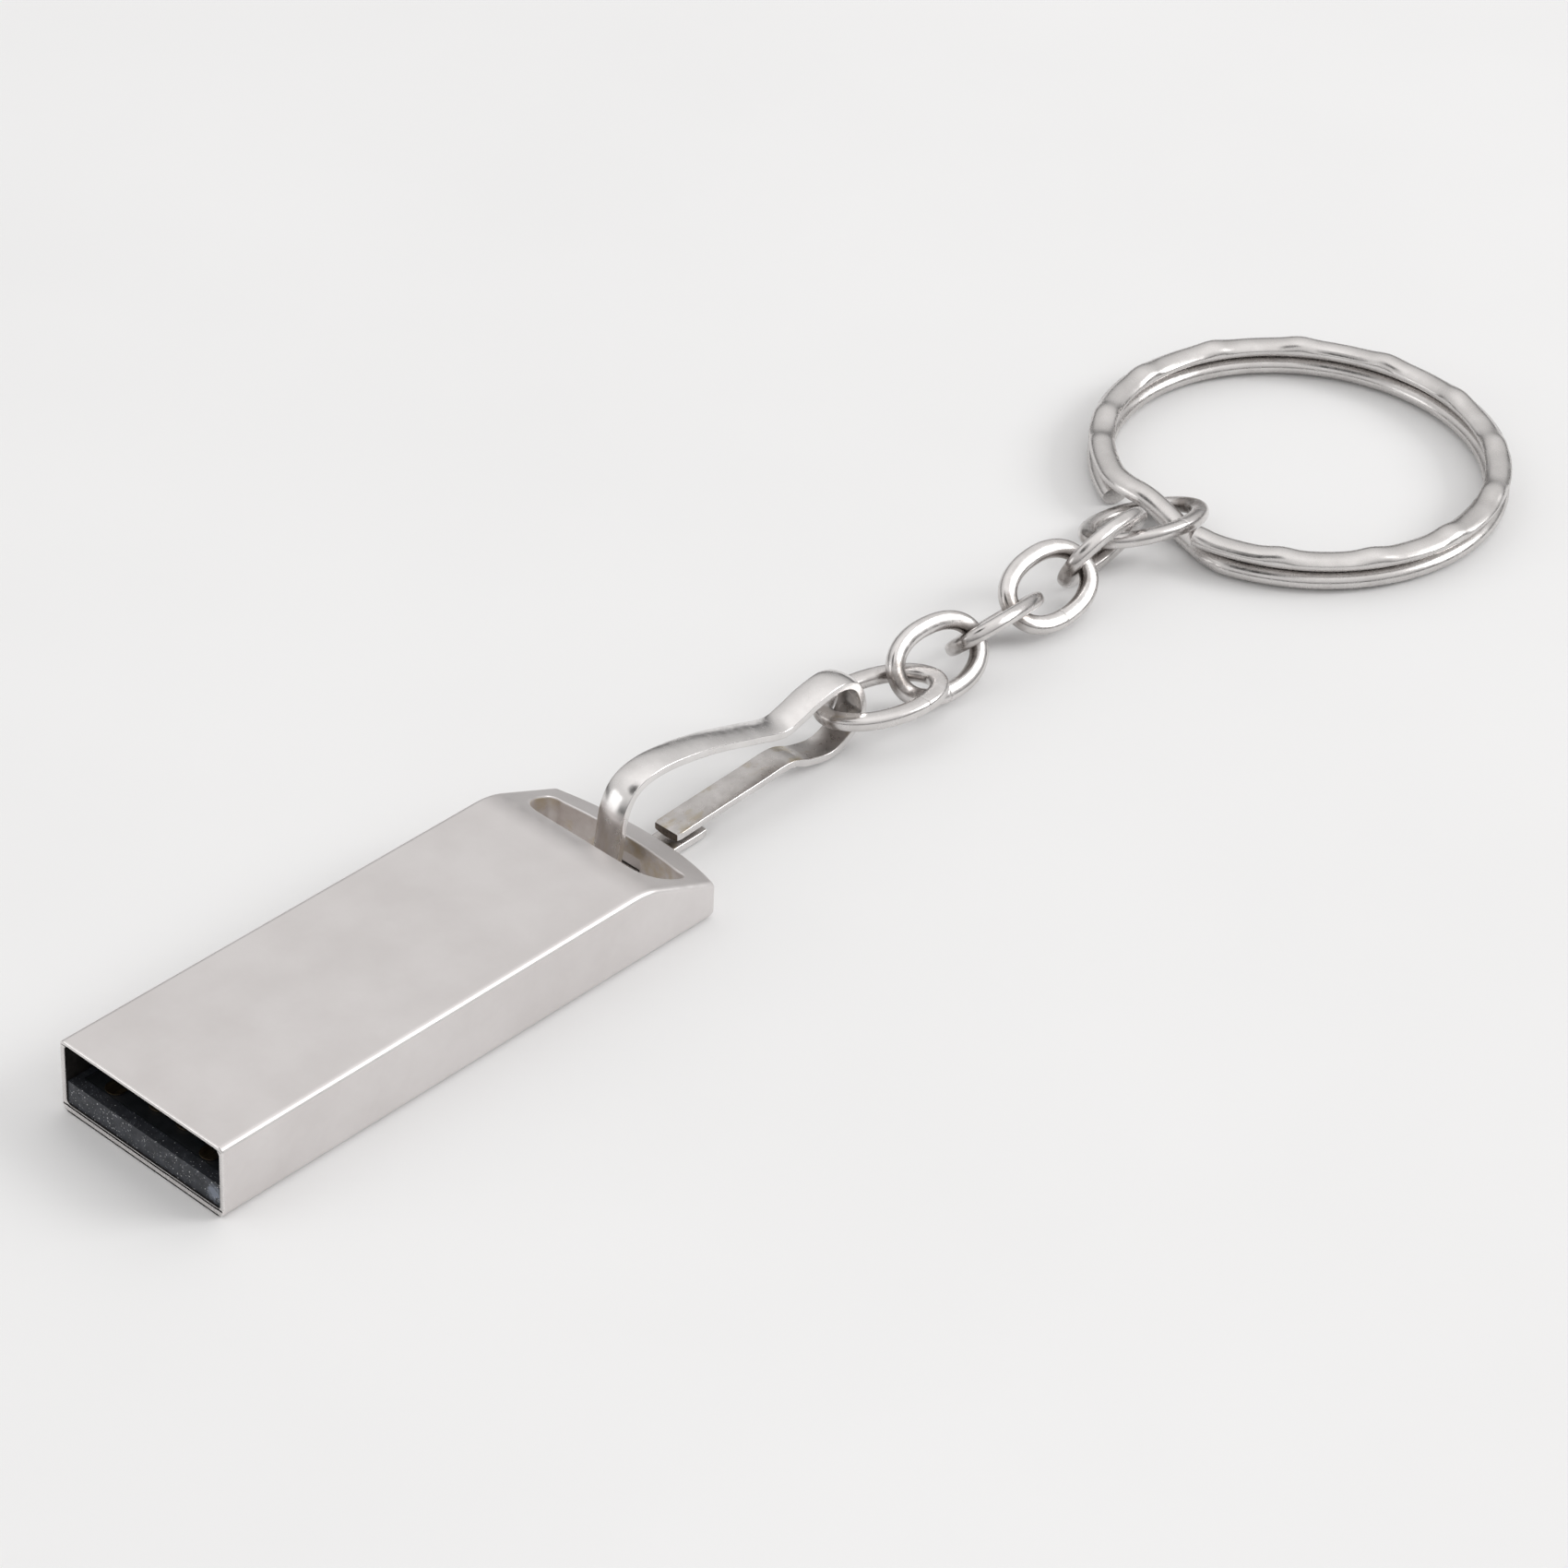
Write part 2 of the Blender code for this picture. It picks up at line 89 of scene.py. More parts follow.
# How much a corner's radius grows with the outline's inset, how many steps the end's bow has, and how
# many of them give way to the corner at each side.
CORNER_GROWTH = 0.4
BOW_STEPS = 24
BOW_STEPS_AT_CORNERS = 2
BOTTOM_EDGE_RADIUS = 0.5
BOTTOM_EDGE_STEPS = 8
TOP_EDGE_RADIUS = 0.35
SIDE_WALL = 0.3
TOP_WALL = 0.3
BOTTOM_WALL = 0.45
CAVITY_END_Y = 8.5
CAVITY_CORNER_RADIUS = 0.3
MOUTH_RIM_RADIUS = 0.09
SLOT_HALF_WIDTH = 5.0
SLOT_FRONT_Y = 13.15
SLOT_SIDE_Y = 15.8
SLOT_MIDDLE_Y = 16.3
# The slot's straight sides start here, and its far side bows between these corners.
SLOT_STRAIGHT_Y = 15.2
SLOT_BOW_HALF_WIDTH = 4.2
SLOT_FRONT_RADIUS = 1.6
SLOT_BACK_RADIUS = 0.5
SLOT_RIM_RADIUS = 0.16
BAR_BOTTOM = 0.85
BAR_BOTTOM_RADIUS = 0.68
# The notch's cut shapes the bar up to this height.
BAR_SHAPED_TO = 1.55
# The bar's inner lower corner leans back, just clear of the hook's strip at rest and at its lower limit.
BAR_INNER_CORNER = (16.46, 0.7)
NOTCH_HALF_WIDTH = 1.15
# How far cutting shapes reach past what they cut.
PAST = 1.0
FAR_PAST = 2.0
# How far a face may be from a plane and still count as on it, and the same at the slot's rim.
NEAR_PLANE = 0.01
NEAR_RIM = 0.1
# The upward part of a normal: over the first a face looks up, under the second it is upright.
LOOKS_UP = 0.7
UPRIGHT = 0.3
# An edge on the mouth that turns by more than this many degrees is part of its rim.
CREASE_ANGLE = 30
# The mouth's rim is polished to this depth, and the cavity's painted shade starts at this one.
POLISHED_DEPTH = 0.15
CAVITY_SHADE_DEPTH = 0.12
# The housing's materials, in the order of its slots.
FROSTED, POLISHED, CAVITY, SLOT_WALL = range(4)

# Hook. Its route is (y, z) points of the strip's centreline, from its tip to the gate's cut end.
STRIP_WIDTH = 1.8
STRIP_THICKNESS = 0.6
STRIP_INNER_RADIUS = 0.07
STRIP_OUTER_RADIUS = 0.08
# The domed outer face: how far across it reaches, how full it is and how much it is lifted.
DOME_REACH = 0.94
DOME_FULLNESS = 0.97
DOME_LIFT = 0.005
DOME_STEPS = 8
# The strip is drawn in to this share of its section at a cut end.
CUT_END_SIZE = 0.93
# A face this near a cut end belongs to it, and one that looks inwards more than this is tarnished.
CUT_END_REACH = 0.4
INWARD_COSINE = 0.8
# The strip's materials, in the order of its slots.
OUTER, INNER, CUT = range(3)
HOOK_ROUTE = (
    (21.8, 0.32), (16.6, 0.32), (15.3, 0.6), (14.85, 1.5), (15.0, 2.7), (15.4, 4.9), (16.4, 6.1),
    (18.5, 6.4), (22.0, 5.8), (25.4, 4.75), (27.8, 4.0), (29.1, 4.18), (30.6, 4.65), (32.4, 4.85),
    (33.75, 4.2), (34.35, 2.5), (33.6, 1.25), (32.0, 0.5), (30.1, 0.85), (28.45, 1.46), (26.0, 1.38),
    (22.5, 1.24), (19.5, 1.1),
)
ROUTE_STEPS = 12
# The gate's mesh starts at this point of the route.
GATE_FIRST_POINT = 18

# Chain: where each link's tail wire sits (x, y, z), then its heading, rise and roll in degrees, its
# length, its width and how square its outline is.
WIRE_DIAMETER = 1.1
CHAIN_LINKS = (
    (-0.5, 32.75, 2.1, 16.5, 1.0, 2.0, 8.2, 5.0, 2.0),
    (0.35, 37.75, 2.55, 1.5, -2.5, -54.0, 7.5, 4.9, 2.2),
    (0.6, 43.0, 2.6, -7.5, -7.0, 45.0, 7.5, 4.9, 2.2),
    (0.0, 48.15, 2.0, -4.0, 2.5, -38.0, 7.5, 4.9, 2.2),
    (-0.25, 53.3, 2.4, -5.0, -1.5, 66.0, 7.5, 4.9, 2.2),
    (-1.9, 57.65, 1.7, 8.0, -4.0, 18.5, 8.6, 6.2, 2.0),
)
# In section the wire is trimmed in the link's plane, spread outwards, and flattened on both faces. It
# is an ellipse at squareness 1 and squarer below that.
WIRE_TRIM = 0.06
WIRE_SPREAD = 0.12
WIRE_FLATTENING = 0.11
WIRE_SQUARENESS = 0.75
WIRE_SECTION_STEPS = 28
LINK_STEPS = 96
LINK_TANGENT_STEP = 0.7
# Each link's butt seam, in degrees round the link from its head: its place, depth and width, and the
# extra stations that draw it.
SEAM_ANGLES = (62.0, 95.0, 250.0, 100.0, 265.0, 80.0)
SEAM_DEPTH = 0.07
SEAM_WIDTH = 0.55
SEAM_OFFSETS = (-2.0, -1.4, -0.9, -0.5, -0.2, 0.2, 0.5, 0.9, 1.4, 2.0)
SEAM_CLEARANCE = 2.6
# Where the last link meets the ring, and how far the painted shade reaches from a contact.
CHAIN_END = (-0.9, 65.0, 1.7)
CONTACT_SHADE_REACH = 1.9

# The scuff on the tray's lip.
TRAY_SCUFF = (5.15, -17.85, 1.15)
TRAY_SCUFF_REACH = 0.95

# The memory module's finishes: how the CAD pieces' names start, then the material's name, its dark and
# light colours, the mottling's size in millimetres, its roughness and, for silicon, how metallic it is.
MOTTLED_FINISHES = (
    ("module_substrate", "solder_mask", (0.012, 0.014, 0.016), (0.024, 0.026, 0.03), 0.6, 0.4),
    ("mould_compound", "mould_epoxy", (0.015, 0.015, 0.016), (0.03, 0.03, 0.032), 0.2, 0.6),
    ("nand_die", "memory_silicon", (0.09, 0.1, 0.13), (0.16, 0.15, 0.18), 1.5, 0.2, 0.6),
    ("controller_die", "logic_silicon", (0.1, 0.11, 0.12), (0.18, 0.17, 0.2), 0.8, 0.2, 0.6),
    ("capacitor_", "fired_ceramic", (0.38, 0.27, 0.17), (0.5, 0.38, 0.26), 0.3, 0.5),
    ("resistor_", "resistor_coat", (0.02, 0.02, 0.02), (0.045, 0.045, 0.045), 0.2, 0.5),
)

# Split ring: angles in degrees from +X, counterclockwise from above.
RING_CENTRE = Vector((0.42, 73.83, 0.0))
RING_RADIUS = 11.9
RING_WIRE_WIDTH = 1.6
RING_WIRE_HEIGHT = 1.15
RING_UPPER_Z = 1.85
RING_LOWER_Z = 0.6
RING_START = 278
RING_END = 962
RING_STEP = 1.5
RING_TANGENT_STEP = 0.5
RING_END_SIZE = 0.94
# The wire dips inwards, most at the middle angle, while it steps down from the upper turn.
STEP_DIP = 1.4
STEP_DIP_ANGLES = (598, 626, 650)
STEP_DOWN_ANGLES = (610, 630)
# The hammered facets of the upper turn. A facet lowers the wire's top by one share and narrows the part
# of it above the pinch's height by the other.
FIRST_RIDGE = 11.5
RIDGE_PITCH = 26.5
RIDGE_WIDTH = 4.5
FACETS_END = 578
FACETS_FADE = 6
FACET_LOWERING = 0.34
FACET_PINCH = 0.10
FACET_PINCH_HEIGHT = 0.1


# ---------------------------------------------------------------- shapes


def filleted(corners, steps=6):
    """An outline from (x, y, radius) corners, with an arc at each corner that has a radius."""
    points = []
    for index, (x, y, radius) in enumerate(corners):
        corner = Vector((x, y))
        if not radius:
            points.append(corner)
            continue
        back = (Vector(corners[index - 1][:2]) - corner).normalized()
        ahead = (Vector(corners[(index + 1) % len(corners)][:2]) - corner).normalized()
        half = back.angle(ahead) / 2
        centre = corner + (back + ahead).normalized() * radius / sin(half)
        first = corner + back * radius / tan(half) - centre
        last = corner + ahead * radius / tan(half) - centre
        turn = first.angle_signed(last)
        for step in range(steps + 1):
            points.append(centre + Matrix.Rotation(-turn * step / steps, 2) @ first)
    return points


def arc_radius(half, rise):
    """The radius of an arc that rises by rise at the middle of a chord of twice half."""
    return (half * half + rise * rise) / (2 * rise)


def arc_between(start, middle, end, steps):
    """Points on the arc from start to end, both at one y, that bulges up to y = middle."""
    half = (end[0] - start[0]) / 2
    radius = arc_radius(half, middle - start[1])
    reach = asin(half / radius)
    centre = Vector(((start[0] + end[0]) / 2, middle - radius))
    angles = [-reach + 2 * reach * step / steps for step in range(steps + 1)]
    return [centre + Vector((sin(angle), cos(angle))) * radius for angle in angles]


def prism(outline, axes, low, high):
    """A bmesh of an outline in two axes, such as XY, that runs from low to high along the third."""
    places = {"X": 0, "Y": 1, "Z": 2}
    first, second = places[axes[0]], places[axes[1]]
    third = 3 - first - second
    work = bmesh.new()
    ring = []
    for spot in outline:
        point = [0.0, 0.0, 0.0]
        point[first], point[second], point[third] = spot[0], spot[1], low
        ring.append(work.verts.new(point))
    face = work.faces.new(ring)
    made = bmesh.ops.extrude_face_region(work, geom=[face])
    move = Vector((0.0, 0.0, 0.0))
    move[third] = high - low
    tops = [item for item in made["geom"] if isinstance(item, bmesh.types.BMVert)]
    bmesh.ops.translate(work, vec=move, verts=tops)
    bmesh.ops.recalc_face_normals(work, faces=work.faces)
    return work


def combined(target, cutter, operation):
    """The bmesh left when a Boolean cuts or intersects two bmeshes. It uses both up."""
    objects = []
    for work in (target, cutter):
        mesh = bpy.data.meshes.new("boolean_input")
        work.to_mesh(mesh)
        work.free()
        objects.append(bpy.data.objects.new("boolean_input", mesh))
        bpy.context.scene.collection.objects.link(objects[-1])
    step = objects[0].modifiers.new("boolean", "BOOLEAN")
    step.operation = operation
    step.object = objects[1]
    bpy.context.view_layer.update()
    graph = bpy.context.evaluated_depsgraph_get()
    mesh = bpy.data.meshes.new_from_object(objects[0].evaluated_get(graph))
    result = bmesh.new()
    result.from_mesh(mesh)
    for thing in objects:
        bpy.data.objects.remove(thing)
    bpy.data.meshes.remove(mesh)
    return result


def rounded(work, wanted, radius, segments):
    """Rounds the edges of a bmesh that wanted(edge) picks."""
    edges = [edge for edge in work.edges if len(edge.link_faces) == 2 and wanted(edge)]
    bmesh.ops.bevel(
        work, geom=edges, offset=radius, segments=segments, profile=0.5, affect="EDGES",
        offset_type="OFFSET", clamp_overlap=False, loop_slide=True,
    )


def join_rings(work, rings, closed=False):
    """Faces between each ring of vertices and the next, with a cap at both ends unless it is closed."""
    pairs = list(zip(rings, rings[1:]))
    if closed:
        pairs.append((rings[-1], rings[0]))
    for ring, following in pairs:
        for spot in range(len(ring)):
            beside = (spot + 1) % len(ring)
            work.faces.new((ring[spot], ring[beside], following[beside], following[spot]))
    if not closed:
        work.faces.new(rings[0])
        work.faces.new(rings[-1][::-1])
    bmesh.ops.recalc_face_normals(work, faces=work.faces)


def sweep(stations, section_at, closed):
    """A bmesh tube. Each station is (centre, side, up), and section_at(index) gives (side, up) pairs."""
    work = bmesh.new()
    rings = []
    for index, (centre, side, up) in enumerate(stations):
        rings.append([work.verts.new(centre + side * a + up * b) for a, b in section_at(index)])
    join_rings(work, rings, closed)
    return work


def smooth_route(points, steps):
    """Points on a Catmull-Rom curve through the given points."""
    ends = [points[0] * 2 - points[1], *points, points[-1] * 2 - points[-2]]
    route = []
    for a, b, c, d in zip(ends, ends[1:], ends[2:], ends[3:]):
        for step in range(steps):
            t = step / steps
            bend = (c - a) * t + (a * 2 - b * 5 + c * 4 - d) * t**2 + (b * 3 - a - c * 3 + d) * t**3
            route.append(b + bend / 2)
    return [*route, points[-1]]


def degrees_apart(first, second):
    """How far apart two angles are, from 0 to 180 degrees."""
    return abs((first - second + 180) % 360 - 180)


def signed_power(value, power):
    """A value's size raised to a power, with its sign kept."""
    return abs(value) ** power * (1 if value > 0 else -1)


def ease(value, start, end):
    """A smooth 0 to 1 as value goes from start to end."""
    t = min(max((value - start) / (end - start), 0.0), 1.0)
    return t * t * (3 - 2 * t)


def piece(name, work, materials, sharp_angle=35):
    """A smooth-shaded object in metres from a bmesh in millimetres."""
    mesh = bpy.data.meshes.new(name)
    work.to_mesh(mesh)
    work.free()
    mesh.transform(Matrix.Scale(MM, 4))
    for material in materials:
        mesh.materials.append(material)
    mesh.shade_smooth()
    mesh.set_sharp_from_angle(angle=radians(sharp_angle))
    made = bpy.data.objects.new(name, mesh)
    bpy.context.scene.collection.objects.link(made)
    return made


def stand_in(made, body, node):
    """The object rides on a body in place of a CAD node."""
    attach(made, body)
    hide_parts(node)


# ---------------------------------------------------------------- materials


class Surface:
    """A Principled material that is put together from small node-building steps.

    The colour and roughness that it starts with are its plain values. They stay on the shader's
    sockets under the nodes that give the detail.
    """

    def __init__(self, name, colour, roughness, metallic):
        self.material = bpy.data.materials.new(name)
        self.material.use_nodes = True
        self.tree = self.material.node_tree
        self.shader = self.tree.nodes["Principled BSDF"]
        self.shader.inputs["Base Color"].default_value = (*colour, 1.0)
        self.shader.inputs["Roughness"].default_value = roughness
        self.shader.inputs["Metallic"].default_value = metallic
        self.place = self.tree.nodes.new("ShaderNodeTexCoord").outputs["Object"]

    def noise(self, size_mm, detail, stretch=None):
        """Noise whose blotches are about size_mm across, stretched along each axis if asked."""
        source = self.place
        if stretch:
            mapping = self.tree.nodes.new("ShaderNodeMapping")
            mapping.inputs["Scale"].default_value = tuple(1 / amount for amount in stretch)
            self.tree.links.new(self.place, mapping.inputs["Vector"])
            source = mapping.outputs["Vector"]
        made = self.tree.nodes.new("ShaderNodeTexNoise")
        made.inputs["Scale"].default_value = 1 / (size_mm * MM)
        made.inputs["Detail"].default_value = detail
        self.tree.links.new(source, made.inputs["Vector"])
        return made.outputs["Fac"]

    def ramp(self, source, stops):
        """Colours or greys along a 0 to 1 value."""
        made = self.tree.nodes.new("ShaderNodeValToRGB")
        elements = made.color_ramp.elements
        while len(elements) < len(stops):
            elements.new(0.5)
        for element, (position, colour) in zip(elements, stops):
            element.position = position
            shade = colour if isinstance(colour, tuple) else (colour,) * 3
            element.color = (*shade, 1.0)
        self.tree.links.new(source, made.inputs["Fac"])
        return made.outputs["Color"]

    def near(self, point_mm, reach_mm):
        """1 at a point on the object, fading to 0 at reach_mm from it."""
        apart = self.tree.nodes.new("ShaderNodeVectorMath")
        apart.operation = "DISTANCE"
        apart.inputs[1].default_value = Vector(point_mm) * MM
        self.tree.links.new(self.place, apart.inputs[0])
        fade = self.tree.nodes.new("ShaderNodeMapRange")
        fade.inputs["From Max"].default_value = reach_mm * MM
        fade.inputs["To Min"].default_value = 1.0
        fade.inputs["To Max"].default_value = 0.0
        self.tree.links.new(apart.outputs["Value"], fade.inputs["Value"])
        return fade.outputs["Result"]

    def calculate(self, operation, first, second):
        """The result of a Math node's operation on two values."""
        made = self.tree.nodes.new("ShaderNodeMath")
        made.operation = operation
        self.tree.links.new(first, made.inputs[0])
        self.tree.links.new(second, made.inputs[1])
        return made.outputs["Value"]

    def mix(self, amount, first, second):
        """A colour that goes from first to second, each a colour or a socket."""
        made = self.tree.nodes.new("ShaderNodeMix")
        made.data_type = "RGBA"
        self.tree.links.new(amount, made.inputs["Factor"])
        for value, socket in ((first, made.inputs["A"]), (second, made.inputs["B"])):
            self.set(socket, value)
        return made.outputs["Result"]

    def set(self, socket, value):
        """Links a socket, or sets a colour or a number."""
        if isinstance(value, bpy.types.NodeSocket):
            self.tree.links.new(value, socket)
        elif isinstance(value, tuple):
            socket.default_value = (*value, 1.0)
        else:
            socket.default_value = value

    def colour(self, value):
        self.set(self.shader.inputs["Base Color"], value)

    def roughness(self, source, low, high):
        varied = self.ramp(source, ((0.3, low), (0.7, high)))
        self.tree.links.new(varied, self.shader.inputs["Roughness"])

    def bumps(self, layers):
        """Relief from (height socket, depth in mm) pairs."""
        normal = None
        for height, depth_mm in layers:
            made = self.tree.nodes.new("ShaderNodeBump")
            made.inputs["Strength"].default_value = 1.0
            made.inputs["Distance"].default_value = depth_mm * MM
            self.tree.links.new(height, made.inputs["Height"])
            if normal:
                self.tree.links.new(normal, made.inputs["Normal"])
            normal = made.outputs["Normal"]
        self.tree.links.new(normal, self.shader.inputs["Normal"])


def frosted_nickel():
    """Pearl nickel over a shot-blasted casting: a fine frosted grain with faint clouds."""
    made = Surface("frosted_nickel", (0.72, 0.69, 0.68), 0.4, 1.0)
    clouds = made.noise(4.0, 4.0)
    made.colour(made.ramp(clouds, ((0.35, (0.72, 0.69, 0.681)), (0.65, (0.765, 0.737, 0.729)))))
    made.roughness(made.noise(0.6, 3.0), 0.36, 0.46)
    pits = made.ramp(made.noise(0.22, 2.0), ((0.3, 0.0), (0.36, 1.0)))
    made.bumps(((made.noise(0.09, 2.0), 0.0022), (made.noise(1.1, 2.0), 0.004), (pits, 0.0012)))
    return made.material


def polished_nickel_edge():
    """The rim of the mouth, which use has polished bright."""
    made = Surface("polished_nickel_edge", (0.8, 0.775, 0.765), 0.26, 1.0)
    streaks = made.noise(0.35, 3.0, stretch=(1.0, 6.0, 1.0))
    made.colour(made.ramp(streaks, ((0.3, (0.74, 0.715, 0.705)), (0.7, (0.8, 0.775, 0.765)))))
    made.roughness(made.noise(0.3, 3.0), 0.2, 0.34)
    made.bumps(((made.noise(0.4, 2.0), 0.001),))
    return made.material


def cavity_nickel_painted_shade():
    """The unpolished inside of the plug, painted near black as the shade inside the cavity."""
    made = Surface("cavity_nickel_painted_shade", (0.09, 0.088, 0.085), 0.6, 1.0)
    # Painted shade: the walls inside the plug are coloured near black for the shade that fills it.
    dull = ((0.3, (0.05, 0.048, 0.045)), (0.7, (0.13, 0.12, 0.115)))
    made.colour(made.ramp(made.noise(0.8, 4.0), dull))
    made.roughness(made.noise(0.3, 3.0), 0.5, 0.7)
    made.bumps(((made.noise(0.15, 3.0), 0.006),))
    return made.material


def stained_slot_nickel():
    """The slot's walls: plating painted paler than the housing's nickel, as painted light in the shaded
    slot, with patches of brown stain.
    """
    made = Surface("stained_slot_nickel", (0.5, 0.47, 0.44), 0.35, 1.0)
    stains = made.ramp(made.noise(1.3, 4.0), ((0.52, 0.0), (0.68, 1.0)))
    # Painted light: the base is paler than the housing's nickel so that the slot's shaded walls read
    # lighter.
    base = made.ramp(made.noise(0.7, 3.0), ((0.3, (0.76, 0.715, 0.695)), (0.7, (0.88, 0.845, 0.83))))
    made.colour(made.mix(stains, base, (0.72, 0.64, 0.52)))
    made.roughness(made.noise(0.4, 3.0), 0.4, 0.6)
    made.bumps(((made.noise(0.2, 3.0), 0.004), (made.noise(1.0, 2.0), 0.008)))
    return made.material


def plated_strip():
    """Bright nickel on rolled strip: soft lengthwise drawing lines under the shine."""
    made = Surface("plated_strip", (0.74, 0.72, 0.71), 0.16, 1.0)
    lines = made.noise(0.2, 2.0, stretch=(1.0, 14.0, 8.0))
    made.colour(made.ramp(made.noise(1.5, 4.0), ((0.3, (0.71, 0.69, 0.68)), (0.7, (0.81, 0.79, 0.78)))))
    made.roughness(made.noise(0.5, 4.0), 0.15, 0.3)
    made.bumps(((lines, 0.0012), (made.noise(0.7, 2.0), 0.005)))
    return made.material


def tarnished_strip():
    """The strip's inner face, with specks and patches of brown tarnish."""
    made = Surface("tarnished_strip", (0.6, 0.57, 0.55), 0.3, 1.0)
    patches = made.ramp(made.noise(1.3, 3.0, stretch=(1.0, 1.8, 1.0)), ((0.53, 0.0), (0.62, 0.85)))
    specks = made.ramp(made.noise(0.2, 2.0), ((0.68, 0.0), (0.78, 0.7)))
    base = made.ramp(made.noise(1.2, 3.0), ((0.3, (0.5, 0.475, 0.46)), (0.7, (0.64, 0.615, 0.6))))
    tarnish = made.mix(patches, base, (0.46, 0.4, 0.3))
    made.colour(made.mix(specks, tarnish, (0.4, 0.36, 0.32)))
    made.roughness(made.noise(0.4, 4.0), 0.22, 0.42)
    made.bumps(((made.noise(0.25, 3.0), 0.004),))
    return made.material


def cut_strip_end():
    """The sheared end of the strip, dark where the plating is thin."""
    made = Surface("cut_strip_end", (0.16, 0.13, 0.11), 0.5, 1.0)
    made.colour(made.ramp(made.noise(0.25, 3.0), ((0.3, (0.1, 0.08, 0.065)), (0.7, (0.24, 0.2, 0.17)))))
    made.roughness(made.noise(0.2, 3.0), 0.4, 0.6)
    made.bumps(((made.noise(0.12, 3.0, stretch=(1.0, 1.0, 4.0)), 0.006),))
    return made.material


def polished_wire(number, contacts):
    """Tumbled chain wire: bright, with slight dents, and brown painted shade round its two contacts."""
    made = Surface(f"polished_wire_{number}", (0.7, 0.675, 0.665), 0.25, 1.0)
    base = made.ramp(made.noise(1.2, 4.0), ((0.3, (0.64, 0.617, 0.605)), (0.7, (0.75, 0.728, 0.718))))
    # Painted shade: the wire darkens to brown in patches round the places where it meets its neighbours.
    tail, head = (made.near(spot, CONTACT_SHADE_REACH) for spot in contacts)
    nearest = made.calculate("MAXIMUM", tail, head)
    patchy = made.calculate("MULTIPLY", nearest, made.noise(0.7, 4.0))
    made.colour(made.mix(made.ramp(patchy, ((0.12, 0.0), (0.36, 0.9))), base, (0.27, 0.243, 0.226)))
    made.roughness(made.noise(0.6, 3.0), 0.2, 0.3)
    made.bumps(((made.noise(1.4, 1.0), 0.005), (made.noise(0.3, 1.0), 0.0003)))
    return made.material


def ring_steel():
    """The split ring's plated wire, a little softer in its shine than the chain."""
    made = Surface("ring_steel", (0.75, 0.73, 0.72), 0.16, 1.0)
    made.colour(made.ramp(made.noise(1.8, 4.0), ((0.3, (0.6, 0.58, 0.568)), (0.7, (0.72, 0.7, 0.688)))))
    made.roughness(made.noise(0.6, 3.0), 0.2, 0.32)
    made.bumps(((made.noise(1.6, 1.0), 0.006), (made.noise(0.3, 1.0), 0.0003)))
    return made.material


def tray_plastic():
    """Moulded dark plastic with dust specks and a pale scuff at the right end of its lip."""
    made = Surface("tray_plastic", (0.04, 0.043, 0.05), 0.5, 0.0)
    dust = made.ramp(made.noise(0.5, 5.0), ((0.45, 0.0), (0.75, 1.0)))
    specks = made.ramp(made.noise(0.1, 2.0), ((0.665, 0.0), (0.7, 1.0)))
    near_scuff = made.near(TRAY_SCUFF, TRAY_SCUFF_REACH)
    patchy = made.calculate("MULTIPLY", near_scuff, made.noise(0.3, 5.0))
    scuff = made.ramp(patchy, ((0.2, 0.0), (0.34, 0.8)))
    body = made.mix(dust, (0.026, 0.029, 0.036), (0.052, 0.057, 0.069))
    scuffed = made.mix(scuff, body, (0.24, 0.27, 0.33))
    made.colour(made.mix(specks, scuffed, (0.6, 0.61, 0.63)))
    made.roughness(made.noise(0.3, 3.0), 0.4, 0.65)
    made.bumps(((made.noise(0.1, 3.0), 0.004),))
    return made.material


def plated_contact():
    """Thin gold over nickel, dulled, with insertion scratches along the plug."""
    made = Surface("plated_contact", (0.55, 0.38, 0.16), 0.35, 1.0)
    scratches = made.noise(0.06, 3.0, stretch=(1.0, 20.0, 1.0))
    made.colour(made.ramp(scratches, ((0.35, (0.26, 0.19, 0.12)), (0.65, (0.4, 0.31, 0.2)))))
    made.roughness(made.noise(0.4, 3.0), 0.28, 0.45)
    made.bumps(((scratches, 0.002),))
    return made.material


def mottled(name, dark, light, size_mm, rough, metallic=0.0):
    """A plain moulded or fired surface with fine mottling."""
    made = Surface(name, dark, rough, metallic)
    made.colour(made.ramp(made.noise(size_mm, 4.0), ((0.3, dark), (0.7, light))))
    made.roughness(made.noise(size_mm * 0.7, 3.0), rough - 0.07, rough + 0.08)
    made.bumps(((made.noise(size_mm * 0.4, 3.0), 0.004),))
    return made.material


def pale_floor():
    made = Surface("pale_floor", (0.9, 0.9, 0.9), 0.7, 0.0)
    made.colour(made.ramp(made.noise(30.0, 3.0), ((0.3, (0.88, 0.88, 0.88)), (0.7, (0.9, 0.9, 0.9)))))
    return made.material


# ---------------------------------------------------------------- pieces


def side_profile():
    """The housing from the side: flat, then bending down a slope to its end."""
    return filleted(
        [
            (MOUTH_Y - FAR_PAST, -PAST, 0.0),
            (END_MIDDLE_Y + FAR_PAST, -PAST, 0.0),
            (END_MIDDLE_Y + FAR_PAST, slope_height(END_MIDDLE_Y + FAR_PAST), 0.0),
            (SLOPE_START_Y, HEIGHT, SLOPE_BEND_RADIUS),
            (MOUTH_Y - FAR_PAST, HEIGHT, 0.0),
        ],
        steps=9,
    )


def slope_height(y):
    """The height of the sloping end at y."""
    drop = (HEIGHT - SLOPE_END_Z) / (END_MIDDLE_Y - SLOPE_START_Y)
    return HEIGHT - drop * (y - SLOPE_START_Y)


